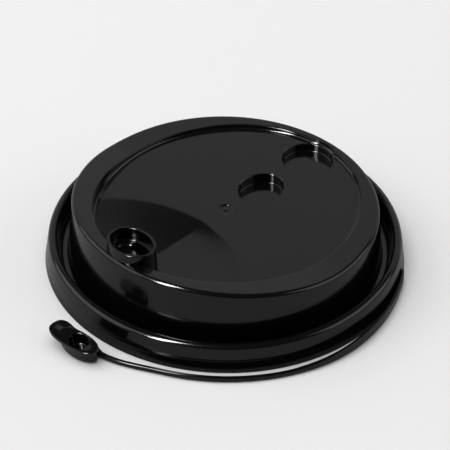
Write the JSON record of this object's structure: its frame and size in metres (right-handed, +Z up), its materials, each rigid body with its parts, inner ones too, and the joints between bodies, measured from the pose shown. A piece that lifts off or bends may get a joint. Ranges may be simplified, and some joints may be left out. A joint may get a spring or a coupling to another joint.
{
  "type": "sip-through takeaway cup lid with tethered stopper",
  "caption": "Round moulded cup lid: press-fit rim, raised dome with a ring rising to an oval sip spout, sunk deck with wells, oval stopper on a strap.",
  "frame": {"origin": "middle of the footprint box, at the height of the skirt's foot on the surface it stands on", "axes": "+Z up along the dome's axis; -Y from the dome's axis towards the sip spout and stopper; +X towards the side that the strap runs round"},
  "size_m": [0.0986, 0.1056, 0.0233],
  "materials": {
    "black_polypropylene": "gloss black injection-moulded polypropylene"
  },
  "bodies": {
    "root": {"lid": "black_polypropylene"}
  },
  "joints": []
}
